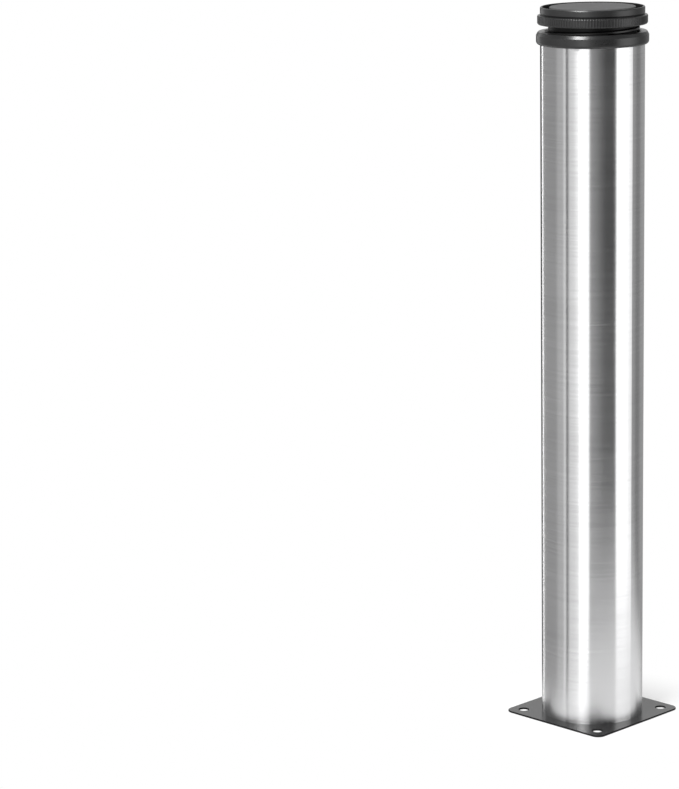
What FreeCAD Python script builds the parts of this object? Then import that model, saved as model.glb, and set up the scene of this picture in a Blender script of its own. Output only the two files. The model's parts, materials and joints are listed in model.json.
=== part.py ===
import FreeCAD, Part
import math
import os

# Height adjustable table leg, standing on its mounting plate with the foot on top.
# The origin is the centre of the plate's mounting face and +Z runs from plate to foot.
# All lengths are in millimetres.

# Tube
TUBE_DIAMETER = 60.0
TUBE_WALL = 1.0
TUBE_LENGTH = 399.0

# Mounting plate, with a drawn boss that centres the tube and sinks the screw's head
PLATE_MARGIN = 7.0
SHEET = 1.0
PLATE_CORNER_RADIUS = 5.0
SHEET_EDGE_BEVEL = 0.2
FIXING_HOLE_DIAMETER = 6.0
FIXING_HOLE_INSET = 8.0
BOSS_FIT_GAP = 0.3
BOSS_CLAMP_GAP = 0.2
HEAD_SINK = 0.6

# Pressed insert that holds the weld nut in the tube's end
INSERT_WALL = 1.5

# Centre screw M8, spring washer and weld nut
SCREW_DIAMETER = 8.0
SCREW_LENGTH = 16.0
HEAD_DIAMETER = 14.0
HEAD_HEIGHT = 4.4
HEAD_CROWN_DIAMETER = 8.4
HEAD_EDGE_HEIGHT = 1.2
HEX_KEY = 5.0
HEX_KEY_DEPTH = 2.6
WASHER_DIAMETER = 14.8
WASHER_THICKNESS = 2.0
WASHER_SLIT = 0.8
WASHER_SLIT_SLANT = 25.0
NUT_ACROSS_FLATS = 14.0
NUT_HEIGHT = 6.5
NUT_PILOT_DIAMETER = 10.5
NUT_PILOT_HEIGHT = 1.2
FASTENER_GAP = 0.1
HOLE_CLEARANCE = 0.4

# Socket: a collar on the tube's end and a skirt pressed into the tube, with a plain bore at
# the mean circle of its coarse thread
COLLAR_OVERHANG = 2.3
COLLAR_HEIGHT = 7.4
COLLAR_ROUNDING = 2.0
COLLAR_SHOULDER_HEIGHT = 2.0
COLLAR_SHOULDER_WIDTH = 1.1
ROUNDING_STEPS = 3
MOUTH_BEVEL = 1.4
SKIRT_LENGTH = 18.0
SKIRT_INSET = 0.4
SKIRT_WALL = 2.0
SKIRT_LEAD = 2.0
CRUSH_RIBS = 8
CRUSH_RIB_WIDTH = 1.4
CRUSH_RIB_START = 4.0

# Foot, shown screwed out by NECK_GAP; its thread is drawn plain, at the mean circle
NECK_GAP = 4.1
THREAD_GAP = 0.4
STEM_LENGTH = 27.0
STEM_WALL = 3.0
FLANGE_OVERHANG = 1.6
FLANGE_HEIGHT = 5.4
FLANGE_BEVEL = 0.8
GRIP_TEETH = 120
GRIP_DEPTH = 0.3
RIM_HEIGHT = 4.5
RIM_WALL = 1.2
STIFFENING_RIBS = 6
STIFFENING_RIB_WIDTH = 1.6
STIFFENING_RIB_HEIGHT = 8.0
HUB_WALL = 3.4
HUB_DROP = 4.0

# Disc that stands on the floor, held in the foot by a split snap pin
GROOVE_WIDTH = 4.05
DISC_THICKNESS = 7.0
DISC_PROUD = 0.2
DISC_BEVEL = 0.6
SEAT_GAP = 0.1
PIN_DIAMETER = 10.0
PIN_RUNNING_GAP = 0.08
BARB_OVERHANG = 0.6
BARB_LENGTH = 3.2
PIN_SLOT = 1.8

# Heights and radii that follow
TUBE_RADIUS = TUBE_DIAMETER / 2
TUBE_BORE = TUBE_RADIUS - TUBE_WALL
TUBE_TOP = SHEET + TUBE_LENGTH
PLATE_HALF = TUBE_RADIUS + PLATE_MARGIN
SCREW_RADIUS = SCREW_DIAMETER / 2
HEAD_BOTTOM = HEAD_SINK + HEAD_HEIGHT
RECESS_DEPTH = HEAD_BOTTOM + WASHER_THICKNESS
BOSS_TOP = RECESS_DEPTH + SHEET
INSERT_FLOOR = BOSS_TOP + BOSS_CLAMP_GAP
INSERT_TOP = INSERT_FLOOR + INSERT_WALL
INSERT_BORE = TUBE_BORE - INSERT_WALL
BOSS_RADIUS = INSERT_BORE - BOSS_FIT_GAP
COLLAR_RADIUS = TUBE_RADIUS + COLLAR_OVERHANG
COLLAR_TOP = TUBE_TOP + COLLAR_HEIGHT
SKIRT_RADIUS = TUBE_BORE - SKIRT_INSET
SKIRT_BOTTOM = TUBE_TOP - SKIRT_LENGTH
SKIRT_BORE = SKIRT_RADIUS - SKIRT_WALL
STEM_RADIUS = SKIRT_BORE - THREAD_GAP
STEM_BORE = STEM_RADIUS - STEM_WALL
FLANGE_RADIUS = TUBE_RADIUS + FLANGE_OVERHANG
FLANGE_BOTTOM = COLLAR_TOP + NECK_GAP
FLANGE_TOP = FLANGE_BOTTOM + FLANGE_HEIGHT
RIM_TOP = FLANGE_TOP + RIM_HEIGHT
RIM_BORE = TUBE_RADIUS - RIM_WALL
STEM_BOTTOM = FLANGE_BOTTOM - STEM_LENGTH
HUB_BOTTOM = FLANGE_BOTTOM - HUB_DROP
DISC_RADIUS = RIM_BORE - GROOVE_WIDTH
DISC_TOP = RIM_TOP + DISC_PROUD
DISC_BOTTOM = DISC_TOP - DISC_THICKNESS
WEB_TOP = DISC_BOTTOM - SEAT_GAP
WEB_MIDDLE = (FLANGE_BOTTOM + WEB_TOP) / 2
PIN_RADIUS = PIN_DIAMETER / 2
PIN_HOLE = PIN_RADIUS + PIN_RUNNING_GAP
BARB_TOP = HUB_BOTTOM - 2 * SEAT_GAP

UP = FreeCAD.Vector(0, 0, 1)
CENTRE = FreeCAD.Vector(0, 0, 0)
OVERCUT = 1.0


def turned(outline):
    """Solid of revolution about Z from a closed outline of (radius, height) points."""
    points = [FreeCAD.Vector(radius, 0, height) for radius, height in outline]
    wire = Part.makePolygon(points + points[:1])
    return Part.Face(wire).revolve(CENTRE, UP, 360)


def ring(inner, outer, bottom, top):
    """Plain turned ring; an inner radius of 0 gives a disc."""
    return turned([(inner, bottom), (outer, bottom), (outer, top), (inner, top)])


def hexagon(across_flats, bottom, height):
    """Upright hexagonal prism on the Z axis."""
    corner = across_flats / math.sqrt(3)
    points = []
    for side in range(7):
        angle = math.radians(60 * side)
        points.append(FreeCAD.Vector(corner * math.cos(angle), corner * math.sin(angle), bottom))
    return Part.Face(Part.makePolygon(points)).extrude(UP * height)


def around(solid, count):
    """Copies of a solid turned evenly about the Z axis."""
    copies = []
    for index in range(count):
        copy = solid.copy()
        copy.rotate(CENTRE, UP, 360.0 * index / count)
        copies.append(copy)
    return copies


def rounded_underside(edge_radius, bottom, rounding):
    """Outline points that round a lower outer edge in a few steps, from the underside up."""
    points = []
    for step in range(ROUNDING_STEPS + 1):
        angle = math.radians(90 * step / ROUNDING_STEPS)
        radius = edge_radius - rounding * (1 - math.sin(angle))
        height = bottom + rounding * (1 - math.cos(angle))
        points.append((radius, height))
    return points


def mounting_plate():
    """Square sheet with rounded corners, four fixing holes and the drawn centre boss."""
    side = 2 * PLATE_HALF
    sheet = Part.makeBox(side, side, SHEET, FreeCAD.Vector(-PLATE_HALF, -PLATE_HALF, 0))
    uprights = [edge for edge in sheet.Edges if abs(edge.tangentAt(edge.FirstParameter).z) > 0.9]
    sheet = sheet.makeFillet(PLATE_CORNER_RADIUS, uprights)
    rims = [edge for edge in sheet.Edges if abs(edge.tangentAt(edge.FirstParameter).z) < 0.1]
    sheet = sheet.makeChamfer(SHEET_EDGE_BEVEL, rims)
    bend = SHEET / 2
    recess = BOSS_RADIUS - SHEET
    boss = turned([
        (0, SHEET / 2),
        (BOSS_RADIUS, SHEET / 2),
        (BOSS_RADIUS, BOSS_TOP - bend),
        (BOSS_RADIUS - bend, BOSS_TOP),
        (0, BOSS_TOP),
    ])
    hollow = turned([
        (0, -OVERCUT),
        (recess + bend + OVERCUT, -OVERCUT),
        (recess, bend),
        (recess, RECESS_DEPTH),
        (0, RECESS_DEPTH),
    ])
    screw_hole = ring(0, SCREW_RADIUS + HOLE_CLEARANCE, 0, BOSS_TOP + OVERCUT)
    plate = sheet.fuse(boss).cut([hollow, screw_hole])
    place = PLATE_HALF - FIXING_HOLE_INSET
    hole = ring(0, FIXING_HOLE_DIAMETER / 2, -OVERCUT, SHEET + OVERCUT)
    hole.translate(FreeCAD.Vector(place, place, 0))
    return plate.cut(around(hole, 4))


def centre_screw():
    """Button-head screw with a hexagon socket, head down in the plate's recess."""
    head = HEAD_DIAMETER / 2
    tip = HEAD_BOTTOM + SCREW_LENGTH
    screw = turned([
        (0, HEAD_SINK),
        (HEAD_CROWN_DIAMETER / 2, HEAD_SINK),
        (head, HEAD_BOTTOM - HEAD_EDGE_HEIGHT),
        (head, HEAD_BOTTOM),
        (SCREW_RADIUS, HEAD_BOTTOM),
        (SCREW_RADIUS, tip),
        (0, tip),
    ])
    return screw.cut(hexagon(HEX_KEY, HEAD_SINK - OVERCUT, HEX_KEY_DEPTH + OVERCUT))


def lock_washer():
    """Spring washer: a ring with one slanting slit."""
    washer = ring(SCREW_RADIUS + FASTENER_GAP, WASHER_DIAMETER / 2, HEAD_BOTTOM, RECESS_DEPTH)
    height = 4 * WASHER_THICKNESS
    slit = Part.makeBox(WASHER_DIAMETER, WASHER_SLIT, height)
    slit.translate(FreeCAD.Vector(0, -WASHER_SLIT / 2, -height / 2))
    slit.rotate(CENTRE, FreeCAD.Vector(1, 0, 0), WASHER_SLIT_SLANT)
    slit.translate(UP * (HEAD_BOTTOM + WASHER_THICKNESS / 2))
    return washer.cut(slit)


def weld_nut():
    """Hexagon weld nut with its pilot collar in the insert's hole."""
    body = hexagon(NUT_ACROSS_FLATS, INSERT_TOP, NUT_HEIGHT)
    pilot_bottom = INSERT_TOP - NUT_PILOT_HEIGHT
    pilot = ring(0, NUT_PILOT_DIAMETER / 2, pilot_bottom, INSERT_TOP + NUT_PILOT_HEIGHT)
    bore = ring(0, SCREW_RADIUS + FASTENER_GAP, INSERT_FLOOR, INSERT_TOP + NUT_HEIGHT + OVERCUT)
    return body.fuse(pilot).cut(bore)


def tube_insert():
    """Pressed cup, mouth to the plate, fixed inside the tube's end."""
    hole = NUT_PILOT_DIAMETER / 2
    bend = INSERT_WALL / 2
    return turned([
        (hole, INSERT_FLOOR),
        (INSERT_BORE, INSERT_FLOOR),
        (INSERT_BORE, SHEET),
        (TUBE_BORE, SHEET),
        (TUBE_BORE, INSERT_TOP - bend),
        (TUBE_BORE - bend, INSERT_TOP),
        (hole, INSERT_TOP),
    ])


def leg_tube():
    """Plain tube standing on the plate."""
    return ring(TUBE_BORE, TUBE_RADIUS, SHEET, TUBE_TOP)


def foot_socket():
    """End sleeve: collar with a sloped shoulder, and skirt with crush ribs."""
    sleeve = turned([
        (SKIRT_BORE, SKIRT_BOTTOM),
        (SKIRT_RADIUS - SKIRT_WALL / 2, SKIRT_BOTTOM),
        (SKIRT_RADIUS, SKIRT_BOTTOM + SKIRT_LEAD),
        (SKIRT_RADIUS, TUBE_TOP),
        *rounded_underside(COLLAR_RADIUS, TUBE_TOP, COLLAR_ROUNDING),
        (COLLAR_RADIUS, COLLAR_TOP - COLLAR_SHOULDER_HEIGHT),
        (COLLAR_RADIUS - COLLAR_SHOULDER_WIDTH, COLLAR_TOP),
        (SKIRT_BORE + MOUTH_BEVEL, COLLAR_TOP),
        (SKIRT_BORE, COLLAR_TOP - MOUTH_BEVEL),
    ])
    rib_bottom = SKIRT_BOTTOM + CRUSH_RIB_START
    buried = SKIRT_RADIUS - SKIRT_WALL / 2
    edge = -CRUSH_RIB_WIDTH / 2
    corners = [
        FreeCAD.Vector(buried, edge, rib_bottom),
        FreeCAD.Vector(SKIRT_RADIUS, edge, rib_bottom),
        FreeCAD.Vector(TUBE_BORE, edge, rib_bottom + SKIRT_LEAD),
        FreeCAD.Vector(TUBE_BORE, edge, TUBE_TOP),
        FreeCAD.Vector(buried, edge, TUBE_TOP),
    ]
    rib = Part.Face(Part.makePolygon(corners + corners[:1]))
    rib = rib.extrude(FreeCAD.Vector(0, CRUSH_RIB_WIDTH, 0))
    rib = rib.common(ring(buried - OVERCUT, TUBE_BORE, SKIRT_BOTTOM, TUBE_TOP + OVERCUT))
    return sleeve.fuse(around(rib, CRUSH_RIBS))


def grip_band():
    """Fine straight teeth round the flange, as one extruded toothed outline."""
    points = []
    for step in range(2 * GRIP_TEETH):
        radius = FLANGE_RADIUS - GRIP_DEPTH * (step % 2)
        angle = math.pi * step / GRIP_TEETH
        points.append(FreeCAD.Vector(radius * math.cos(angle), radius * math.sin(angle), 0))
    outline = Part.Face(Part.makePolygon(points + points[:1]))
    outline.translate(UP * (FLANGE_BOTTOM + FLANGE_BEVEL / 2))
    band = outline.extrude(UP * (FLANGE_HEIGHT - 1.5 * FLANGE_BEVEL))
    return band.cut(ring(0, FLANGE_RADIUS - 3 * GRIP_DEPTH, STEM_BOTTOM, RIM_TOP))


def foot_body():
    """Adjusting foot: hollow stem, web with ribs and hub, toothed grip flange, and rim."""
    flange = FLANGE_RADIUS - 1.5 * GRIP_DEPTH
    hub = PIN_HOLE + HUB_WALL
    body = turned([
        (PIN_HOLE, HUB_BOTTOM),
        (hub, HUB_BOTTOM),
        (hub, FLANGE_BOTTOM),
        (STEM_BORE, FLANGE_BOTTOM),
        (STEM_BORE, STEM_BOTTOM),
        (STEM_RADIUS, STEM_BOTTOM),
        (STEM_RADIUS, FLANGE_BOTTOM),
        (flange, FLANGE_BOTTOM),
        (flange, FLANGE_TOP - FLANGE_BEVEL),
        (TUBE_RADIUS, FLANGE_TOP),
        (TUBE_RADIUS, RIM_TOP),
        (RIM_BORE, RIM_TOP),
        (RIM_BORE, WEB_TOP),
        (PIN_HOLE, WEB_TOP),
    ])
    corner = FreeCAD.Vector(hub - HUB_WALL / 2, -STIFFENING_RIB_WIDTH / 2, 0)
    length = STEM_BORE + STEM_WALL / 2 - corner.x
    height = WEB_MIDDLE - FLANGE_BOTTOM + STIFFENING_RIB_HEIGHT
    rib = Part.makeBox(length, STIFFENING_RIB_WIDTH, height, corner)
    rib.translate(UP * (FLANGE_BOTTOM - STIFFENING_RIB_HEIGHT))
    return body.fuse(around(rib, STIFFENING_RIBS) + [grip_band()])


def foot_disc():
    """Floor disc with a split, barbed pin that lets the foot turn round it."""
    barb_bottom = BARB_TOP - BARB_LENGTH
    body = turned([
        (0, DISC_TOP),
        (DISC_RADIUS - DISC_BEVEL, DISC_TOP),
        (DISC_RADIUS, DISC_TOP - DISC_BEVEL),
        (DISC_RADIUS, DISC_BOTTOM),
        (PIN_RADIUS, DISC_BOTTOM),
        (PIN_RADIUS, BARB_TOP),
        (PIN_RADIUS + BARB_OVERHANG, BARB_TOP),
        (PIN_RADIUS - BARB_OVERHANG, barb_bottom),
        (0, barb_bottom),
    ])
    corner = FreeCAD.Vector(-PIN_DIAMETER, -PIN_SLOT / 2, barb_bottom - OVERCUT)
    slot = Part.makeBox(2 * PIN_DIAMETER, PIN_SLOT, WEB_TOP - corner.z, corner)
    crossing = slot.copy()
    crossing.rotate(CENTRE, UP, 90)
    return body.cut([slot, crossing])


PIECES = [
    mounting_plate,
    centre_screw,
    lock_washer,
    weld_nut,
    tube_insert,
    leg_tube,
    foot_socket,
    foot_body,
    foot_disc,
]

os.makedirs("parts", exist_ok=True)
for piece in PIECES:
    piece().exportStep("parts/" + piece.__name__ + ".step")
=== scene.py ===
import json
import math

import bmesh
import bpy
from bpy.props import FloatProperty, FloatVectorProperty, IntProperty, PointerProperty
from bpy.types import Operator, Panel, PropertyGroup
from mathutils import Matrix, Vector


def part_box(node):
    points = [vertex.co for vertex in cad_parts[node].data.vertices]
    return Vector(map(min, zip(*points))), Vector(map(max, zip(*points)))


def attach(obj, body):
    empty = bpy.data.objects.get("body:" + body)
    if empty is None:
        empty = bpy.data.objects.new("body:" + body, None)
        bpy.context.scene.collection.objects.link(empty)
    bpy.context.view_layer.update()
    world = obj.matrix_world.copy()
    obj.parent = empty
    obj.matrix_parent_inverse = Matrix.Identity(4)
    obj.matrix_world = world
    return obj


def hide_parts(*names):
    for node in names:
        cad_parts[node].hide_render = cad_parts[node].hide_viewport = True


bl_info = {
    "name": "Adjustable Table Leg",
    "version": (1, 0, 0),
    "blender": (4, 5, 0),
    "location": "3D View > Sidebar > Table Leg",
    "description": "Dresses the packed table leg with its finishes and sets up its studio",
    "category": "Object",
}

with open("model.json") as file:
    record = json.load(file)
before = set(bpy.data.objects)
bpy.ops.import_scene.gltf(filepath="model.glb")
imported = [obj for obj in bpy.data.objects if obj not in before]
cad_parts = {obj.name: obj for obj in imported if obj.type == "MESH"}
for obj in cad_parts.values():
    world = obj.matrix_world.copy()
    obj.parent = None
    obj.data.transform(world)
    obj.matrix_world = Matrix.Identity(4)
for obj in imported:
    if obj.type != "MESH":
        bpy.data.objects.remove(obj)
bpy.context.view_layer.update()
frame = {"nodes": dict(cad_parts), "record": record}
NODES = frame["nodes"]

# Everything is in metres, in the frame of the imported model.
MM = 0.001
TUBE_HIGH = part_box("leg_tube")[1]
SOCKET_LOW, SOCKET_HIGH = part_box("foot_socket")
FOOT_LOW, FOOT_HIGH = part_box("foot_body")
DISC_LOW, DISC_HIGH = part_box("foot_disc")
PLATE_LOW, PLATE_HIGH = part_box("mounting_plate")
SCREW_LOW, SCREW_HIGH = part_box("centre_screw")

# Columns of faces round the mouldings, and round the screw and the pin.
MOULDING_COLUMNS = 192
SMALL_COLUMNS = 96

# Shading breaks where faces meet at more than this angle.
CREASE = math.radians(32)

# The coarse thread of foot and socket: the height where the foot's ridge crosses the X axis, in
# the neck above the collar, the width that a flank gains per depth, and the play between the two.
RIDGE_HEIGHT = SOCKET_HIGH.z + 1.35 * MM
THREAD_FLANK = 0.4
THREAD_PLAY = 0.4 * MM

# How deep a ridge, a tooth or the like is sunk in the wall that carries it.
ROOTING = 0.3 * MM


# Shader maths


class Link:
    """An output socket that takes part in shader maths."""

    def __init__(self, tree, socket):
        self.tree = tree
        self.socket = socket

    def math(self, operation, first, second):
        return self.tree.node("ShaderNodeMath", {"operation": operation}, {0: first, 1: second})

    def __add__(self, other):
        return self.math("ADD", self, other)

    def __radd__(self, other):
        return self.math("ADD", other, self)

    def __sub__(self, other):
        return self.math("SUBTRACT", self, other)

    def __rsub__(self, other):
        return self.math("SUBTRACT", other, self)

    def __mul__(self, other):
        return self.math("MULTIPLY", self, other)

    def __rmul__(self, other):
        return self.math("MULTIPLY", other, self)


class ShaderTree:
    """An emptied node tree that is filled with node()."""

    def __init__(self, owner):
        owner.use_nodes = True
        self.tree = owner.node_tree
        self.tree.nodes.clear()

    def node(self, kind, settings=None, inputs=None, output=0):
        """Adds a node, sets it, fills its sockets, and gives one of its outputs if it has any."""
        made = self.tree.nodes.new(kind)
        for name, value in (settings or {}).items():
            setattr(made, name, value)
        for name, value in (inputs or {}).items():
            if isinstance(value, Link):
                self.tree.links.new(value.socket, made.inputs[name])
            else:
                made.inputs[name].default_value = value
        return Link(self, made.outputs[output]) if made.outputs else None

    def place(self):
        return self.node("ShaderNodeTexCoord", output="Object")

    def is_ray(self, kind):
        return self.node("ShaderNodeLightPath", output=f"Is {kind} Ray")

    def parts(self, vector):
        """The X, Y and Z of a vector."""
        first = self.node("ShaderNodeSeparateXYZ", None, {0: vector})
        return [Link(self, socket) for socket in first.socket.node.outputs]

    def vector_math(self, operation, first, second=(0, 0, 0), output=0):
        inputs = {0: first, 1: second}
        return self.node("ShaderNodeVectorMath", {"operation": operation}, inputs, output)

    def stretched(self, vector, factors):
        return self.vector_math("MULTIPLY", vector, factors)

    def distance(self, vector, point):
        return self.vector_math("DISTANCE", vector, point, "Value")

    def flattened(self, vector):
        """A vector's sideways reach in X and Y, without its sign or height."""
        return self.vector_math("ABSOLUTE", self.stretched(vector, (1, 1, 0)))

    def reach_from(self, vector, corner):
        """How far a flattened vector reaches past the square from the origin to (corner, corner)."""
        beyond = self.vector_math("SUBTRACT", vector, (corner, corner, 0))
        beyond = self.vector_math("MAXIMUM", beyond)
        return self.vector_math("LENGTH", beyond, output="Value")

    def noise(self, vector, scale, detail=2.0, roughness=0.5):
        inputs = {"Vector": vector, "Scale": scale, "Detail": detail, "Roughness": roughness}
        return self.node("ShaderNodeTexNoise", None, inputs)

    def streaks(self, vector, factors, detail=2.0, roughness=0.5):
        """Noise drawn out into lines, with a factor in periods per metre for each axis."""
        return self.noise(self.stretched(vector, factors), 1.0, detail, roughness)

    def between(self, value, low, high, bottom=0.0, top=1.0):
        """A smooth step of value from bottom at low to top at high."""
        inputs = {"Value": value, "From Min": low, "From Max": high, "To Min": bottom, "To Max": top}
        return self.node("ShaderNodeMapRange", {"interpolation_type": "SMOOTHSTEP"}, inputs)

    def larger(self, first, second):
        return self.node("ShaderNodeMath", {"operation": "MAXIMUM"}, {0: first, 1: second})

    def colours(self, factor, first, second):
        inputs = {0: factor, 6: first, 7: second}
        return self.node("ShaderNodeMix", {"data_type": "RGBA"}, inputs, output=2)

    def bump(self, height, strength, distance):
        inputs = {"Height": height, "Strength": strength, "Distance": distance}
        return self.node("ShaderNodeBump", None, inputs)

    def surface(self, inputs):
        return self.node("ShaderNodeBsdfPrincipled", None, inputs)

    def either(self, factor, first, second):
        """The first shader where the factor is 0, the second where it is 1."""
        return self.node("ShaderNodeMixShader", None, {0: factor, 1: first, 2: second})


# Finishes

# The scales of noises are in periods per metre.


def rgba(colour, factor=1.0):
    return (colour[0] * factor, colour[1] * factor, colour[2] * factor, 1.0)


def finish(name, build):
    """A new material whose surface shader build(tree) gives."""
    material = bpy.data.materials.new(name)
    tree = ShaderTree(material)
    tree.node("ShaderNodeOutputMaterial", None, {"Surface": build(tree)})
    return material


def brushed_stainless(settings):
    """Stainless steel with fine grain round the tube, which smears reflections along it."""
    lines = 1 / settings.grain_spacing
    dark, light = 0.88, 1.1
    spread = 0.024
    quarter_turn = 0.25

    def build(tree):
        place = tree.place()
        fine = tree.streaks(place, (26, 26, lines), 3.0, 0.6)
        broad = tree.streaks(place, (9, 9, 0.16 * lines))
        cloud = tree.noise(place, 24.0)
        shade = 0.55 * fine + 0.15 * broad + 0.3 * cloud
        shade_low, shade_high = 0.3, 0.7
        steel = settings.steel_colour
        return tree.surface({
            "Base Color": tree.colours(
                tree.between(shade, shade_low, shade_high), rgba(steel, dark), rgba(steel, light)
            ),
            "Metallic": 1.0,
            "Roughness": tree.between(
                shade, shade_low, shade_high, settings.roughness - spread, settings.roughness + spread
            ),
            "Anisotropic": settings.smear,
            "Anisotropic Rotation": quarter_turn,
            "Normal": tree.bump(0.85 * fine + 0.15 * broad, 0.2, settings.grain_depth),
        })

    return finish("brushed_stainless", build)


def moulded_plastic(name, colour, roughness, grain, grain_depth, specular=0.5):
    """Moulded plastic with the fine spark-eroded grain of its mould and faint flow marks."""
    dark, light, worn = 0.85, 1.15, 2.2

    def build(tree):
        place = tree.place()
        fine = tree.noise(place, 1 / grain, 3.0, 0.6)
        flow = tree.streaks(place, (70, 70, 22))
        rubbed = tree.between(tree.noise(place, 140.0, 4.0, 0.65), 0.52, 0.72)
        base = tree.colours(flow, rgba(colour, dark), rgba(colour, light))
        return tree.surface({
            "Base Color": tree.colours(0.15 * rubbed, base, rgba(colour, worn)),
            "Roughness": roughness + 0.06 * (fine - 0.5) - 0.05 * rubbed,
            "IOR": 1.49,
            "Specular IOR Level": specular,
            "Normal": tree.bump(fine, 0.35, grain_depth),
        })

    return finish(name, build)


def powder_coat(settings, half_side, corner, hole_place, hole_radius):
    """Satin black powder coat with its slight orange peel, thin and dull on the cut edges."""
    clean, handled_most = 0.9, 1.25
    sheared_dark, sheared_light = 0.4, 0.8
    peel_depth = 0.04 * MM
    # Up to the first distance from a cut edge the coat is dull, and from the second it is satin.
    dull_to, satin_from = 0.15 * MM, 0.25 * MM

    def build(tree):
        place = tree.place()
        colour = settings.coat_colour
        peel = tree.noise(place, 1 / settings.peel_spacing, 2.0, 0.45)
        fine = tree.noise(place, 5 / settings.peel_spacing)
        handled = tree.between(tree.noise(place, 60.0, 4.0, 0.6), 0.45, 0.75)
        coat = tree.surface({
            "Base Color": tree.colours(handled, rgba(colour, clean), rgba(colour, handled_most)),
            "Roughness": settings.coat_roughness + 0.05 * handled + 0.05 * (fine - 0.5),
            "IOR": 1.5,
            "Normal": tree.bump(0.75 * peel + 0.25 * fine, 0.3, peel_depth),
        })
        sheared = tree.colours(
            tree.streaks(place, (900, 900, 200)),
            rgba(colour, sheared_dark),
            rgba(colour, sheared_light),
        )
        dull = tree.node("ShaderNodeBsdfDiffuse", None, {"Color": sheared})
        flat = tree.flattened(place)
        reach = tree.reach_from(flat, half_side - corner)
        outer = tree.between(reach, corner - satin_from, corner - dull_to)
        from_hole = tree.distance(flat, (hole_place, hole_place, 0))
        inner = tree.between(from_hole, hole_radius + dull_to, hole_radius + satin_from, 1.0, 0.0)
        return tree.either(tree.larger(outer, inner), coat, dull)

    return finish("powder_coat", build)


def plated_steel(name, colour, roughness):
    """Zinc plating: pale and slightly mottled, with fine tool marks."""
    red, green, blue = colour
    cool = (red * 0.94, green * 0.97, blue * 1.03)
    warm = (red * 1.05, green * 1.02, blue * 0.95)
    mark_depth = 0.01 * MM

    def build(tree):
        place = tree.place()
        mottle = tree.noise(place, 420.0, 3.0, 0.6)
        marks = tree.streaks(place, (300, 300, 4200))
        return tree.surface({
            "Base Color": tree.colours(tree.between(mottle, 0.35, 0.65), rgba(cool), rgba(warm)),
            "Metallic": 1.0,
            "Roughness": roughness + 0.12 * (mottle - 0.5) + 0.08 * (marks - 0.5),
            "Normal": tree.bump(0.5 * mottle + 0.5 * marks, 0.2, mark_depth),
        })

    return finish(name, build)


def pressed_steel(name, colour):
    """Bare pressed steel with drawing marks along Z and the dark film of its oil."""
    oiled = 0.6
    mark_depth = 0.02 * MM

    def build(tree):
        place = tree.place()
        drawn = tree.streaks(place, (900, 900, 60), 3.0)
        film = tree.between(tree.noise(place, 85.0, 4.0, 0.6), 0.4, 0.7)
        return tree.surface({
            "Base Color": tree.colours(film, rgba(colour), rgba(colour, oiled)),
            "Metallic": 1.0,
            "Roughness": 0.34 + 0.16 * film + 0.1 * (drawn - 0.5),
            "Normal": tree.bump(drawn, 0.3, mark_depth),
        })

    return finish(name, build)


# Mesh building


def eased(value):
    """A value from 0 to 1 that starts and ends gently."""
    return value * value * (3 - 2 * value)


def softened(corners, steps):
    """Closed outline of (radius, height, rounding) corners with each one rounded."""
    points = []
    for index, (radius, height, rounding) in enumerate(corners):
        here = Vector((radius, height))
        if rounding <= 0:
            points.append(here)
            continue
        back = (Vector(corners[index - 1][:2]) - here).normalized()
        ahead = (Vector(corners[(index + 1) % len(corners)][:2]) - here).normalized()
        half = back.angle(ahead) / 2
        centre = here + (back + ahead).normalized() * rounding / math.sin(half)
        first = here + back * rounding / math.tan(half) - centre
        last = here + ahead * rounding / math.tan(half) - centre
        swing = math.atan2(first.x * last.y - first.y * last.x, first.dot(last))
        for step in range(steps + 1):
            points.append(centre + Matrix.Rotation(swing * step / steps, 2) @ first)
    return points


def turn_rows(mesh, rows, columns):
    """Skin of revolution about Z through rows of (radius, height).

    A radius may be a function of the angle. Rows that don't begin and end on the axis close up
    to a ring.
    """
    rings = []
    for radius, height in rows:
        if not callable(radius) and radius < 1e-7:
            rings.append([mesh.verts.new((0, 0, height))])
            continue
        ring = []
        for column in range(columns):
            angle = 2 * math.pi * column / columns
            reach = radius(angle) if callable(radius) else radius
            ring.append(mesh.verts.new((reach * math.cos(angle), reach * math.sin(angle), height)))
        rings.append(ring)
    pairs = list(zip(rings, rings[1:]))
    if len(rings[0]) > 1 or len(rings[-1]) > 1:
        pairs.append((rings[-1], rings[0]))
    for lower, upper in pairs:
        for column in range(columns):
            following = (column + 1) % columns
            if len(lower) == 1:
                mesh.faces.new((lower[0], upper[following], upper[column]))
            elif len(upper) == 1:
                mesh.faces.new((lower[column], lower[following], upper[0]))
            else:
                mesh.faces.new((lower[column], lower[following], upper[following], upper[column]))


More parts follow.
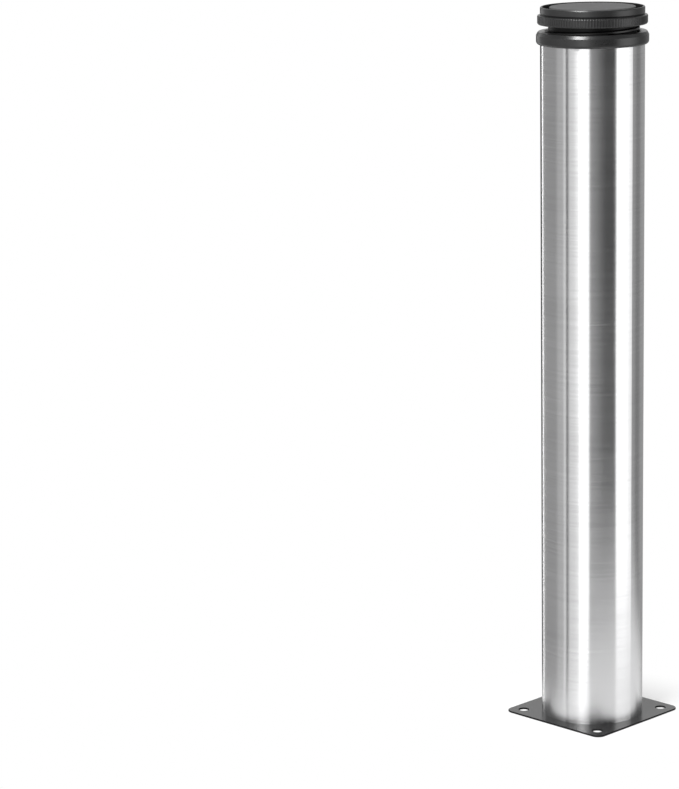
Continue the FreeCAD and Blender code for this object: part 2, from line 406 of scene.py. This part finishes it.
def wind_ridge(mesh, base, crest, crest_half, flank, pitch, start, low, high, steps_per_turn=72):
    """Right-hand thread ridge between two heights, run out to its base at both ends.

    At its crest it reaches crest_half to each side, and below it flank times the depth more. Its
    middle is at height start where it crosses the X axis.
    """
    # Turns that a run-out takes, and the share of the depth that rounds the crest's two edges.
    run_out = 0.3
    softness = 0.12
    first = (low - start) / pitch
    last = (high - start) / pitch
    count = max(2, round((last - first) * steps_per_turn))
    previous = None
    for step in range(count + 1):
        turns = first + (last - first) * step / count
        grown = eased(min(1.0, (turns - first) / run_out, (last - turns) / run_out))
        angle = 2 * math.pi * turns
        middle = start + pitch * turns
        tip = base + (crest - base) * grown
        tip_half = crest_half + flank * abs(crest - tip)
        soft = softness * (tip - base)
        upper = [
            (base, crest_half + flank * abs(crest - base)),
            (tip - soft, tip_half + 0.3 * abs(soft)),
            (tip, tip_half - 0.8 * abs(soft)),
        ]
        outline = [(radius, -height) for radius, height in upper] + upper[::-1]
        section = [
            mesh.verts.new((radius * math.cos(angle), radius * math.sin(angle), middle + height))
            for radius, height in outline
        ]
        if previous:
            for index in range(len(section)):
                after = (index + 1) % len(section)
                mesh.faces.new((previous[index], previous[after], section[after], section[index]))
        else:
            mesh.faces.new(section)
        previous = section
    mesh.faces.new(list(reversed(previous)))


def soft_box(mesh, low, high, rounding, angle):
    """Box with bevelled edges, turned about Z."""
    added = bmesh.ops.create_cube(mesh, size=1.0)["verts"]
    low, high = Vector(low), Vector(high)
    size = high - low
    for vertex in added:
        vertex.co = low + Vector((vertex.co[axis] + 0.5) * size[axis] for axis in range(3))
    edges = {edge for vertex in added for edge in vertex.link_edges}
    beveled = bmesh.ops.bevel(
        mesh, geom=list(edges), offset=rounding, segments=2, profile=0.5, affect="EDGES"
    )["verts"]
    turned = set(beveled) | {vertex for vertex in added if vertex.is_valid}
    turn = Matrix.Rotation(angle, 3, "Z")
    bmesh.ops.rotate(mesh, cent=(0, 0, 0), matrix=turn, verts=list(turned))


def add_ribs(mesh, count, low, high, rounding):
    """Boxes spread evenly about Z, the first of them from low to high."""
    for index in range(count):
        soft_box(mesh, low, high, rounding, 2 * math.pi * index / count)


def make_piece(name, mesh, material, body, slot, *nodes):
    """Turns a bmesh into a smooth-shaded piece that rides on a body in the nodes' place."""
    bmesh.ops.recalc_face_normals(mesh, faces=mesh.faces)
    data = bpy.data.meshes.new(name)
    mesh.to_mesh(data)
    mesh.free()
    data.shade_smooth()
    data.set_sharp_from_angle(angle=CREASE)
    data.materials.append(material)
    piece = bpy.data.objects.new(name, data)
    bpy.context.scene.collection.objects.link(piece)
    weighted = piece.modifiers.new("even_normals", "WEIGHTED_NORMAL")
    weighted.keep_sharp = True
    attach(piece, body)
    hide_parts(*nodes)
    return piece


def dress(node, material):
    """Gives a CAD node its material."""
    slots = NODES[node].data.materials
    if len(slots) == 0:
        slots.append(material)
    for index in range(len(slots)):
        slots[index] = material


# Settings


def length(name, description, millimetres):
    return FloatProperty(
        name=name,
        description=description,
        default=millimetres * MM,
        min=0.0,
        precision=4,
        subtype="DISTANCE",
        unit="LENGTH",
    )


def tint(name, description, default):
    return FloatVectorProperty(
        name=name, description=description, default=default, min=0.0, max=1.0, size=3, subtype="COLOR"
    )


def share(name, description, default):
    return FloatProperty(
        name=name, description=description, default=default, min=0.0, max=1.0, subtype="FACTOR"
    )


class TubeSettings(PropertyGroup):
    steel_colour: tint("Steel", "Colour of the brushed steel", (0.66, 0.66, 0.665))
    roughness: share("Roughness", "Mean roughness of the brushed steel", 0.25)
    smear: share("Smear", "How far the grain smears reflections along the tube", 0.97)
    grain_spacing: length("Grain spacing", "Spacing of the brushed lines along the tube", 0.25)
    grain_depth: length("Grain depth", "Depth of the brushed lines", 0.0018)


class SocketSettings(PropertyGroup):
    plastic_colour: tint("Plastic", "Colour of the moulded socket", (0.014, 0.014, 0.0142))
    roughness: share("Roughness", "Roughness of the moulded socket", 0.3)
    collar_height: length("Collar height", "Height of the collar beyond the tube", 7.4)
    collar_rounding: length("Collar rounding", "Rounding on the tube's side", 2.0)
    shoulder_height: length("Shoulder height", "Height of the collar's sloped shoulder", 2.0)
    shoulder_width: length("Shoulder width", "Width of the collar's sloped shoulder", 1.1)
    skirt_radius: length("Skirt radius", "Outer radius of the skirt inside the tube", 28.6)
    skirt_wall: length("Skirt wall", "Wall of the skirt", 1.2)
    crush_ribs: IntProperty(
        name="Crush ribs", description="Ribs that hold the skirt in the tube", default=8, min=0
    )


class FootSettings(PropertyGroup):
    plastic_colour: tint("Plastic", "Colour of the moulded foot", (0.017, 0.017, 0.0172))
    # Painted shade: a darker colour for the foot's recesses, between its thread crests, in the rim's
    # undercut and in the groove round the disc.
    painted_shade_colour: tint("Painted shade", "Colour of the stem between its threads", (0.01, 0.01, 0.01))
    roughness: share("Roughness", "Roughness of the moulded foot", 0.33)
    flange_height: length("Flange height", "Height of the grip flange", 5.4)
    grip_teeth: IntProperty(
        name="Grip teeth", description="Number of teeth round the grip flange", default=120, min=24
    )
    grip_depth: length("Grip depth", "Depth of the grip's teeth", 0.3)
    rim_height: length("Rim height", "Height of the rim above the flange", 4.5)
    rim_wall: length("Rim wall", "Thickness of the rim", 1.2)
    rim_rounding: length("Rim rounding", "Rounding of the rim's inner edge", 0.35)
    edge_slope: share("Edge slope", "Width over height of the sloped edges on rim and flange", 0.55)
    undercut: length("Undercut", "Depth of the thin undercut at the rim's root", 0.45)
    thread_pitch: length("Thread pitch", "Pitch of the coarse thread", 5.0)
    thread_depth: length("Thread depth", "Depth of the coarse thread", 1.6)
    thread_radius: length("Thread radius", "Radius at the thread's crest", 27.0)
    stem_wall: length("Stem wall", "Wall of the hollow stem", 2.2)
    hub_wall: length("Hub wall", "Wall of the hub round the disc's pin", 3.4)
    stiffening_ribs: IntProperty(
        name="Stiffening ribs", description="Ribs between the hub and the stem", default=6, min=0
    )


class DiscSettings(PropertyGroup):
    plastic_colour: tint("Plastic", "Colour of the floor disc", (0.063, 0.063, 0.064))
    roughness: share("Roughness", "Roughness of the floor disc", 0.55)
    thickness: length("Thickness", "Thickness of the disc", 7.0)
    edge_rounding: length("Edge rounding", "Rounding of the disc's edge", 0.6)
    pin_diameter: length("Pin", "Diameter of the snap pin", 10.0)
    pin_slot: length("Pin slot", "Width of the slots that split the pin", 1.8)


class PlateSettings(PropertyGroup):
    coat_colour: tint("Coating", "Colour of the powder coat", (0.025, 0.025, 0.0255))
    coat_roughness: share("Roughness", "Roughness of the powder coat", 0.22)
    corner_radius: length("Corner radius", "Radius of the plate's corners, as on its solid", 5.0)
    peel_spacing: length("Orange peel", "Spacing of the coating's waviness", 1.1)


class ScrewSettings(PropertyGroup):
    zinc_colour: tint("Zinc", "Colour of the zinc plating", (0.62, 0.63, 0.65))
    shank_radius: length("Shank radius", "Radius at the crest of the screw's thread", 4.0)
    thread_pitch: length("Thread pitch", "Pitch of the screw's thread", 1.25)
    thread_depth: length("Thread depth", "Depth of the screw's thread", 0.72)
    head_height: length("Head height", "Height of the button head", 4.4)
    key_size: length("Key size", "Hexagon key, across its flats", 5.0)
    key_depth: length("Key depth", "Depth of the key's socket", 2.5)


class StudioSettings(PropertyGroup):
    floor_colour: tint("Floor", "Colour of the pale floor", (0.93, 0.93, 0.93))
    background_colour: tint("Background", "Colour behind the floor", (1.0, 1.0, 1.0))
    fill_level: share("Fill", "Level of the even light from all sides", 0.7)
    lamp_power: FloatProperty(
        name="Lamp", description="Power of the soft lamp above", default=29.0, min=0.0, unit="POWER"
    )


class LegSettings(PropertyGroup):
    tube: PointerProperty(type=TubeSettings)
    socket: PointerProperty(type=SocketSettings)
    foot: PointerProperty(type=FootSettings)
    disc: PointerProperty(type=DiscSettings)
    plate: PointerProperty(type=PlateSettings)
    screw: PointerProperty(type=ScrewSettings)
    studio: PointerProperty(type=StudioSettings)


# Pieces


class TABLELEG_OT_tube(Operator):
    """Gives the tube its brushed stainless finish"""

    bl_idname = "tableleg.tube"
    bl_label = "Brushed Tube"

    def execute(self, context):
        dress("leg_tube", brushed_stainless(context.scene.table_leg.tube))
        return {"FINISHED"}


class TABLELEG_OT_socket(Operator):
    """Makes the moulded socket: rounded collar, skirt with crush ribs, inner thread"""

    bl_idname = "tableleg.socket"
    bl_label = "Foot Socket"

    def execute(self, context):
        settings = context.scene.table_leg.socket
        foot = context.scene.table_leg.foot
        mesh = bmesh.new()
        outer = SOCKET_HIGH.x
        top = SOCKET_HIGH.z
        bottom = SOCKET_LOW.z
        shoulder = top - settings.collar_height
        skirt = settings.skirt_radius
        bore = skirt - settings.skirt_wall
        lead_in, lead_length = 0.6 * MM, 2 * MM
        bevel = 0.6 * MM
        outline = softened([
            (bore, bottom, 0.2 * MM),
            (skirt - lead_in, bottom, 0.2 * MM),
            (skirt, bottom + lead_length, 0.6 * MM),
            (skirt, shoulder, 0),
            (outer, shoulder, settings.collar_rounding),
            (outer, top - settings.shoulder_height, 0.5 * MM),
            (outer - settings.shoulder_width, top, 0.5 * MM),
            (bore + bevel, top, 0.25 * MM),
            (bore, top - bevel, 0.25 * MM),
        ], steps=7)
        turn_rows(mesh, outline, MOULDING_COLUMNS)
        crest = foot.thread_radius - foot.thread_depth + THREAD_PLAY
        crest_half = 1.17 * MM
        thread_low, thread_high = top - 10.8 * MM, top - 1.6 * MM
        wind_ridge(
            mesh, bore + ROOTING, crest, crest_half, THREAD_FLANK, foot.thread_pitch,
            RIDGE_HEIGHT + foot.thread_pitch / 2, thread_low, thread_high,
        )
        rib_half, rib_reach, rib_start = 0.7 * MM, 0.38 * MM, 4 * MM
        add_ribs(
            mesh,
            settings.crush_ribs,
            (skirt - 0.6 * MM, -rib_half, bottom + rib_start),
            (skirt + rib_reach, rib_half, shoulder - 0.2 * MM),
            0.15 * MM,
        )
        plastic = moulded_plastic(
            "socket_black", settings.plastic_colour, settings.roughness, 0.9 * MM, 0.01 * MM
        )
        make_piece("moulded_socket", mesh, plastic, "leg", "socket_plastic", "foot_socket")
        return {"FINISHED"}


class TABLELEG_OT_foot(Operator):
    """Makes the adjusting foot: threaded stem, toothed grip flange, rim and hub"""

    bl_idname = "tableleg.foot"
    bl_label = "Adjusting Foot"

    def execute(self, context):
        settings = context.scene.table_leg.foot
        disc = context.scene.table_leg.disc
        mesh = bmesh.new()
        top = FOOT_HIGH.z
        bottom = FOOT_LOW.z
        flange_top = top - settings.rim_height
        flange_bottom = flange_top - settings.flange_height
        flange_seat = flange_top - 0.1 * MM
        grip = FOOT_HIGH.x
        core = grip - 1.5 * settings.grip_depth
        grip_inset = 0.3 * MM
        rim = TUBE_HIGH.x
        rim_bore = rim - settings.rim_wall
        rim_slope = 0.65 * MM
        rim_root = rim - settings.undercut
        undercut_top = flange_top + 0.65 * MM
        rim_foot = flange_top + 0.8 * MM
        root = settings.thread_radius - settings.thread_depth
        stem_bore = root - settings.stem_wall
        stem_bevel = 0.73 * MM
        disc_gap, pin_gap = 0.1 * MM, 0.08 * MM
        web_top = DISC_HIGH.z - disc.thickness - disc_gap
        pin_hole = disc.pin_diameter / 2 + pin_gap
        hub = pin_hole + settings.hub_wall
        hub_bottom = flange_bottom - 4 * MM
        outline = softened([
            (pin_hole, hub_bottom, 0.3 * MM),
            (hub, hub_bottom, 0.4 * MM),
            (hub, flange_bottom, 0.5 * MM),
            (stem_bore, flange_bottom, 0.6 * MM),
            (stem_bore, bottom, 0.2 * MM),
            (root - stem_bevel, bottom, 0.2 * MM),
            (root, bottom + stem_bevel, 0.2 * MM),
            (root, flange_bottom, 0.4 * MM),
            (core, flange_bottom, 0.3 * MM),
            (core, flange_top - 0.5 * MM, 0.15 * MM),
            (rim + 0.5 * MM, flange_seat, 0.15 * MM),
            (rim_root, flange_seat, 0.1 * MM),
            (rim_root, undercut_top, 0.1 * MM),
            (rim, rim_foot, 0.1 * MM),
            (rim, top - rim_slope, 0.3 * MM),
            (rim - rim_slope * settings.edge_slope, top, 0.2 * MM),
            (rim_bore, top, settings.rim_rounding),
            (rim_bore, web_top, 0.5 * MM),
            (pin_hole, web_top, 0.3 * MM),
        ], steps=5)
        turn_rows(mesh, outline, MOULDING_COLUMNS)
        self.add_grip(mesh, settings, core, grip, flange_bottom + grip_inset, flange_top - grip_inset)
        crest_half = 0.62 * MM
        thread_low, thread_high = bottom + 1.6 * MM, flange_bottom + 1.5 * MM
        wind_ridge(
            mesh, root - ROOTING, settings.thread_radius, crest_half, THREAD_FLANK,
            settings.thread_pitch, RIDGE_HEIGHT, thread_low, thread_high,
        )
        rib_half = 0.8 * MM
        rib_low, rib_high = flange_bottom - 8 * MM, flange_bottom + 1.5 * MM
        add_ribs(
            mesh,
            settings.stiffening_ribs,
            (hub - settings.hub_wall / 2, -rib_half, rib_low),
            (stem_bore + settings.stem_wall / 2, rib_half, rib_high),
            0.3 * MM,
        )
        margin = 0.1 * MM

        def is_painted_shade(face):
            """Faces that get the darker painted shade: between the thread's crests, in the rim's
            undercut, and in the groove round the disc.
            """
            middle = face.calc_center_median()
            reach = middle.xy.length
            if middle.z < flange_bottom + margin:
                return reach < settings.thread_radius - margin
            at_undercut = flange_seat - margin < middle.z < undercut_top + margin
            return (at_undercut and reach < rim - margin) or reach < rim_bore + margin / 2

        # Faces in those recesses get the second material, which paints shade into them.
        for face in mesh.faces:
            face.material_index = int(is_painted_shade(face))
        grain = 0.45 * MM
        plastic = moulded_plastic(
            "foot_black", settings.plastic_colour, settings.roughness, grain, 0.035 * MM, 0.45
        )
        # The darker, duller plastic that paints shade into the recesses.
        painted_shade = moulded_plastic(
            "foot_painted_shade", settings.painted_shade_colour, 0.42, grain, 0.02 * MM, 0.16
        )
        foot = make_piece("moulded_foot", mesh, plastic, "foot", "foot_plastic", "foot_body")
        foot.data.materials.append(painted_shade)
        return {"FINISHED"}

    def add_grip(self, mesh, settings, core, grip, low, high):
        """Fine straight teeth round the flange, with their ends sloped off."""
        teeth = settings.grip_teeth
        columns_per_tooth = 8
        slope = settings.grip_depth / settings.edge_slope
        part_way = 0.6

        def toothed(share_of_depth):
            def radius(angle):
                # Taken past 0 and 1 and cut off there, so that crests and valleys are flat.
                wave = min(1.0, max(0.0, 0.75 + 0.9 * math.cos(teeth * angle)))
                return grip - settings.grip_depth * (1 - share_of_depth * eased(wave))

            return radius

        turn_rows(mesh, [
            (core - ROOTING, low),
            (toothed(0.0), low),
            (toothed(part_way), low + part_way * slope),
            (toothed(1.0), low + slope),
            (toothed(1.0), high - slope),
            (toothed(part_way), high - part_way * slope),
            (toothed(0.0), high),
            (core - ROOTING, high),
        ], teeth * columns_per_tooth)


class TABLELEG_OT_disc(Operator):
    """Makes the floor disc with its split snap pin"""

    bl_idname = "tableleg.disc"
    bl_label = "Floor Disc"

    def execute(self, context):
        settings = context.scene.table_leg.disc
        mesh = bmesh.new()
        top = DISC_HIGH.z
        radius = DISC_HIGH.x
        under = top - settings.thickness
        pin = settings.pin_diameter / 2
        outline = softened([
            (radius, top, settings.edge_rounding),
            (radius, under, 0.25 * MM),
            (pin * 0.9, under, 0),
        ], steps=7)
        turn_rows(mesh, [(0.0, top), *outline, (0.0, under)], MOULDING_COLUMNS)
        prong = self.make_prong(settings, pin, under + 0.4 * MM, DISC_LOW.z)
        for _quarter in range(4):
            prong.transform(Matrix.Rotation(math.pi / 2, 4, "Z"))
            mesh.from_mesh(prong)
        bpy.data.meshes.remove(prong)
        plastic = moulded_plastic(
            "disc_grey", settings.plastic_colour, settings.roughness, 0.35 * MM, 0.02 * MM, 0.4
        )
        make_piece("floor_disc", mesh, plastic, "disc", "disc_plastic", "foot_disc")
        return {"FINISHED"}

    def make_prong(self, settings, pin, root, tip):
        """One of the four barbed prongs of the split pin, as a mesh."""
        barb = 0.6 * MM
        barb_top = tip + 3.2 * MM
        prong = bmesh.new()
        turn_rows(prong, [
            (0.0, root),
            (pin, root),
            (pin, barb_top),
            (pin + barb, barb_top),
            (pin + 0.75 * barb, barb_top - 0.5 * MM),
            (pin - barb, tip),
            (0.0, tip),
        ], SMALL_COLUMNS)
        for normal in (Vector((1, 0, 0)), Vector((0, 1, 0))):
            cut = bmesh.ops.bisect_plane(
                prong,
                geom=list(prong.verts) + list(prong.edges) + list(prong.faces),
                plane_co=normal * settings.pin_slot / 2,
                plane_no=normal,
                clear_inner=True,
            )["geom_cut"]
            edges = [item for item in cut if isinstance(item, bmesh.types.BMEdge)]
            bmesh.ops.holes_fill(prong, edges=edges)
        data = bpy.data.meshes.new("prong")
        prong.to_mesh(data)
        prong.free()
        return data


class TABLELEG_OT_plate(Operator):
    """Gives the mounting plate its powder coat"""

    bl_idname = "tableleg.plate"
    bl_label = "Mounting Plate"

    def execute(self, context):
        settings = context.scene.table_leg.plate
        mounts = frame["record"]["mounts"]
        holes = next(mount["dims"] for mount in mounts if mount["kind"] == "bolt_pattern")
        coat = powder_coat(
            settings,
            PLATE_HIGH.x,
            settings.corner_radius,
            holes["spacing_x_mm"] / 2 * MM,
            holes["hole_r_mm"] * MM,
        )
        dress("mounting_plate", coat)
        return {"FINISHED"}


class TABLELEG_OT_screw(Operator):
    """Makes the button-head screw with its hexagon socket and thread"""

    bl_idname = "tableleg.screw"
    bl_label = "Centre Screw"

    def execute(self, context):
        settings = context.scene.table_leg.screw
        mesh = bmesh.new()
        crown = SCREW_LOW.z
        crown_radius = 4.2 * MM
        tip = SCREW_HIGH.z
        head = SCREW_HIGH.x
        seat = crown + settings.head_height
        side = seat - 1.2 * MM
        shank = settings.shank_radius
        core = shank - settings.thread_depth
        neck = seat + 0.6 * MM
        edge = 0.2 * MM
        flat = settings.key_size / 2
        key_floor = crown + settings.key_depth
        mouth_high, mouth_low = crown + 0.35 * MM, crown + 0.02 * MM
        sixth = math.pi / 3

        def hexagon(reach):
            def radius(angle):
                return reach / math.cos((angle + sixth / 2) % sixth - sixth / 2)

            return radius

        def key_mouth(angle):
            return max(hexagon(flat)(angle), 1.12 * flat)

        dome = []
        dome_steps = 8
        for step in range(dome_steps + 1):
            angle = math.pi / 2 * step / dome_steps
            dome.append((
                crown_radius + (head - crown_radius) * math.sin(angle),
                side - (side - crown) * math.cos(angle),
            ))
        turn_rows(mesh, [
            (0.0, key_floor + 0.7 * MM),
            (hexagon(0.45 * flat), key_floor + 0.4 * MM),
            (hexagon(flat), key_floor),
            (hexagon(flat), mouth_high),
            (key_mouth, mouth_low),
            *dome,
            (head, seat - edge),
            (head - edge, seat),
            (shank - edge / 2, seat),
            (core, neck),
            (core, tip - 0.7 * MM),
            (core - 0.6 * MM, tip),
            (0.0, tip),
        ], SMALL_COLUMNS)
        crest_half, flank, rooting = 0.1 * MM, 0.58, 0.1 * MM
        thread_low, thread_high = seat + 0.9 * MM, tip - 0.5 * MM
        wind_ridge(
            mesh, core - rooting, shank, crest_half, flank, settings.thread_pitch,
            seat, thread_low, thread_high, steps_per_turn=48,
        )
        zinc = plated_steel("zinc_screw", settings.zinc_colour, 0.3)
        make_piece("button_screw", mesh, zinc, "leg", "zinc_screw", "centre_screw")
        dress("lock_washer", plated_steel("zinc_washer", settings.zinc_colour, 0.36))
        return {"FINISHED"}


class TABLELEG_OT_insert(Operator):
    """Gives the pressed insert and its weld nut their bare steel"""

    bl_idname = "tableleg.insert"
    bl_label = "Insert and Nut"

    def execute(self, context):
        dress("tube_insert", pressed_steel("drawn_steel", (0.5, 0.5, 0.51)))
        dress("weld_nut", pressed_steel("nut_steel", (0.42, 0.42, 0.43)))
        return {"FINISHED"}


# Studio

# The camera stands where the photograph was taken from, at this heading and slope. Bearings in
# the studio are counted from the camera's side of the leg, positive to the camera's right.
CAMERA_PLACE = (1.1073, -1.29, 0.5738)
CAMERA_HEADING = math.radians(45.65)
CAMERA_SLOPE = math.radians(12.54)
CAMERA_ROLL = math.radians(-1.05)
CAMERA_LENS = 134.84
CAMERA_BEARING = math.atan2(CAMERA_PLACE[0], -CAMERA_PLACE[1])

# The soft lamp, seen from the foot.
LAMP_BEARING = math.radians(-33)
LAMP_ELEVATION = math.radians(45)
LAMP_DISTANCE = 1.6
LAMP_WIDTH, LAMP_DEPTH = 0.5, 0.36

# The floor lies just under the plate. For the camera it fades to the background between these
# distances from the leg's middle, and a little of the background shows from the start.
FLOOR_RADIUS = 14.0
FLOOR_GAP = 0.15 * MM
FADE_START, FADE_END, FADE_LEAST = 0.02, 0.085, 0.3

# The middle of the part of the floor that polished surfaces see, to the camera's right, and the
# distances from there between which it ends.
MIRRORED_FLOOR = (0.138, 0.026, 0.0)
MIRROR_START, MIRROR_END = 0.12, 0.26

# Soft panels round the leg that polished surfaces see: the bearings of their two edges in
# degrees, with each edge's softness, and how much brighter than the wall they are.
WALL_LEVEL = 0.4
PANELS = (
    (-29, 4, -7, 5, 1.6),  # tall panel, left of the camera
    (-55, 6, -29, 4, 0.58),  # wide panel, left
    (-61, 1, -56, 3, -0.4),  # gap beside the wide panel
    (-86, 10, -61, 1, 0.2),  # dim panel, far left
    (-67, 5, -61, 1, 0.5),  # lit edge of the dim panel
    (-148, 2, -143, 2, 2.2),  # white paper, left
    (-180, 1, -151, 3, -0.33),  # dark corner, far left
    (12, 46, 53, 3, -0.37),  # open dark room behind the camera
    (55, 3, 94, 34, 1.7),  # tall panel, right of the camera
    (112, 10, 132, 10, -0.13),  # shaded corner, right
)

# The bright wall opposite the camera: it sets in between these bearings to either side, and
# between these values of Z of the ray's direction.
FAR_WALL_START, FAR_WALL_END = 156, 170
FAR_WALL_LOW, FAR_WALL_HIGH = -0.04, 0.14
FAR_WALL_LEVEL = 1.0

# What takes over from the panels below and above: a Z of the ray's direction and its share
# there, a higher Z and its share there, and its level.
HEIGHTS = (
    (-0.75, 1.0, -0.35, 0.0, 0.8),  # pale ground
    (0.45, 0.0, 0.6, 1.0, 0.12),  # dark ceiling
    (0.85, 0.0, 0.97, 1.0, 0.9),  # bright middle of the ceiling
)


class TABLELEG_OT_studio(Operator):
    """Sets up the pale floor, the soft light and the camera"""

    bl_idname = "tableleg.studio"
    bl_label = "Studio"

    def execute(self, context):
        scene = context.scene
        settings = scene.table_leg.studio
        self.add_floor(scene, settings)
        self.add_surroundings(scene, settings)
        self.add_lamp(scene, settings)
        self.add_camera(scene)
        scene.view_settings.view_transform = "Standard"
        return {"FINISHED"}

    def add_floor(self, scene, settings):
        """Pale floor that fades to the background and lets the plate be seen from below."""
        corner = scene.table_leg.plate.corner_radius

        def build(tree):
            place = tree.place()
            seen = tree.is_ray("Camera")
            mirrored = tree.is_ray("Glossy")
            back = tree.node("ShaderNodeNewGeometry", output="Backfacing")
            floor = settings.floor_colour
            speckled = tree.colours(tree.noise(place, 900.0), rgba(floor, 0.995), rgba(floor, 1.005))
            paper = tree.node("ShaderNodeBsdfDiffuse", None, {"Color": speckled})
            white = tree.node("ShaderNodeEmission", None, {"Color": rgba(settings.background_colour)})
            clear = tree.node("ShaderNodeBsdfTransparent")
            away = tree.vector_math("LENGTH", place, output="Value")
            faded = seen * tree.between(away, FADE_START, FADE_END, FADE_LEAST, 1.0)
            aside = tree.distance(place, MIRRORED_FLOOR)
            unmirrored = mirrored * tree.between(aside, MIRROR_START, MIRROR_END)
            reach = tree.reach_from(tree.flattened(place), PLATE_HIGH.x - corner)
            under_plate = tree.between(reach, corner - 0.5 * MM, corner - 0.3 * MM, 1.0, 0.0)
            gone = tree.larger(unmirrored, (1 - seen) * under_plate)
            gone = tree.larger(gone, back)
            return tree.either(gone, tree.either(faded, paper, white), clear)

        mesh = bmesh.new()
        bmesh.ops.create_circle(mesh, cap_ends=True, segments=128, radius=FLOOR_RADIUS)
        data = bpy.data.meshes.new("studio_floor")
        mesh.to_mesh(data)
        mesh.free()
        data.materials.append(finish("pale_floor", build))
        floor = bpy.data.objects.new("studio_floor", data)
        floor.location.z = PLATE_LOW.z - FLOOR_GAP
        scene.collection.objects.link(floor)

    def add_surroundings(self, scene, settings):
        """Background for the camera, panels for reflections, and even light for the rest."""
        world = bpy.data.worlds.new("studio")
        scene.world = world
        tree = ShaderTree(world)
        direction = tree.node("ShaderNodeTexCoord", output="Generated")
        turned = tree.node(
            "ShaderNodeVectorRotate",
            {"rotation_type": "Z_AXIS"},
            {"Vector": direction, "Angle": -CAMERA_BEARING},
        )
        x, y, z = tree.parts(turned)
        bearing = tree.node("ShaderNodeMath", {"operation": "ARCTAN2"}, {0: x, 1: 0 - y})
        bearing = bearing * (180 / math.pi)
        level = WALL_LEVEL
        for first, first_soft, last, last_soft, brightness in PANELS:
            rise = tree.between(bearing, first - first_soft / 2, first + first_soft / 2)
            fall = tree.between(bearing, last - last_soft / 2, last + last_soft / 2)
            level = level + brightness * (rise - fall)
        aside = tree.node("ShaderNodeMath", {"operation": "ABSOLUTE"}, {0: bearing})
        far_wall = tree.between(aside, FAR_WALL_START, FAR_WALL_END)
        far_wall = far_wall * tree.between(z, FAR_WALL_LOW, FAR_WALL_HIGH)
        level = level + (FAR_WALL_LEVEL - level) * far_wall
        for low, low_share, high, high_share, band_level in HEIGHTS:
            level = level + (band_level - level) * tree.between(z, low, high, low_share, high_share)

        def glow(colour, strength):
            return tree.node("ShaderNodeBackground", None, {"Color": colour, "Strength": strength})

        plain = (1, 1, 1, 1)
        even = glow(plain, settings.fill_level)
        panels = glow(plain, level)
        backdrop = glow(rgba(settings.background_colour), 1.0)
        lit = tree.either(tree.is_ray("Glossy"), even, panels)
        lit = tree.either(tree.is_ray("Camera"), lit, backdrop)
        tree.node("ShaderNodeOutputWorld", None, {"Surface": lit})

    def add_lamp(self, scene, settings):
        """Soft lamp above, aimed at the foot."""
        lamp = bpy.data.lights.new("soft_lamp", "AREA")
        lamp.shape = "RECTANGLE"
        lamp.size = LAMP_WIDTH
        lamp.size_y = LAMP_DEPTH
        lamp.energy = settings.lamp_power
        holder = bpy.data.objects.new("soft_lamp", lamp)
        foot = Vector((0, 0, FOOT_HIGH.z))
        bearing = CAMERA_BEARING + LAMP_BEARING
        holder.location = foot + LAMP_DISTANCE * Vector((
            math.sin(bearing) * math.cos(LAMP_ELEVATION),
            -math.cos(bearing) * math.cos(LAMP_ELEVATION),
            math.sin(LAMP_ELEVATION),
        ))
        holder.rotation_euler = (foot - holder.location).to_track_quat("-Z", "Y").to_euler()
        scene.collection.objects.link(holder)

    def add_camera(self, scene):
        """Camera at the photograph's angle."""
        data = bpy.data.cameras.new("photo_camera")
        data.sensor_width = 36.0
        data.lens = CAMERA_LENS
        data.clip_start = 0.05
        data.clip_end = 60.0
        camera = bpy.data.objects.new("photo_camera", data)
        heading = Matrix.Rotation(CAMERA_HEADING, 4, "Z")
        tilt = Matrix.Rotation(math.pi / 2 - CAMERA_SLOPE, 4, "X")
        roll = Matrix.Rotation(CAMERA_ROLL, 4, "Z")
        camera.matrix_world = Matrix.Translation(CAMERA_PLACE) @ heading @ tilt @ roll
        scene.collection.objects.link(camera)
        scene.camera = camera


class TABLELEG_PT_panel(Panel):
    """Lists the leg's pieces and their settings"""

    bl_idname = "TABLELEG_PT_panel"
    bl_label = "Table Leg"
    bl_space_type = "VIEW_3D"
    bl_region_type = "UI"
    bl_category = "Table Leg"

    def draw(self, context):
        groups = (
            ("tableleg.tube", "tube"),
            ("tableleg.socket", "socket"),
            ("tableleg.foot", "foot"),
            ("tableleg.disc", "disc"),
            ("tableleg.plate", "plate"),
            ("tableleg.screw", "screw"),
            ("tableleg.insert", None),
            ("tableleg.studio", "studio"),
        )
        for operator, group in groups:
            box = self.layout.box()
            box.operator(operator)
            if group:
                settings = getattr(context.scene.table_leg, group)
                for name in settings.bl_rna.properties.keys():
                    if name not in ("rna_type", "name"):
                        box.prop(settings, name)


CLASSES = (
    TubeSettings,
    SocketSettings,
    FootSettings,
    DiscSettings,
    PlateSettings,
    ScrewSettings,
    StudioSettings,
    LegSettings,
    TABLELEG_OT_tube,
    TABLELEG_OT_socket,
    TABLELEG_OT_foot,
    TABLELEG_OT_disc,
    TABLELEG_OT_plate,
    TABLELEG_OT_screw,
    TABLELEG_OT_insert,
    TABLELEG_OT_studio,
    TABLELEG_PT_panel,
)


def register():
    for item in CLASSES:
        bpy.utils.register_class(item)
    bpy.types.Scene.table_leg = PointerProperty(type=LegSettings)


def unregister():
    del bpy.types.Scene.table_leg
    for item in reversed(CLASSES):
        bpy.utils.unregister_class(item)


def main():
    register()
    bpy.ops.tableleg.tube()
    bpy.ops.tableleg.socket()
    bpy.ops.tableleg.foot()
    bpy.ops.tableleg.disc()
    bpy.ops.tableleg.plate()
    bpy.ops.tableleg.screw()
    bpy.ops.tableleg.insert()
    bpy.ops.tableleg.studio()


if __name__ == "__main__":
    main()
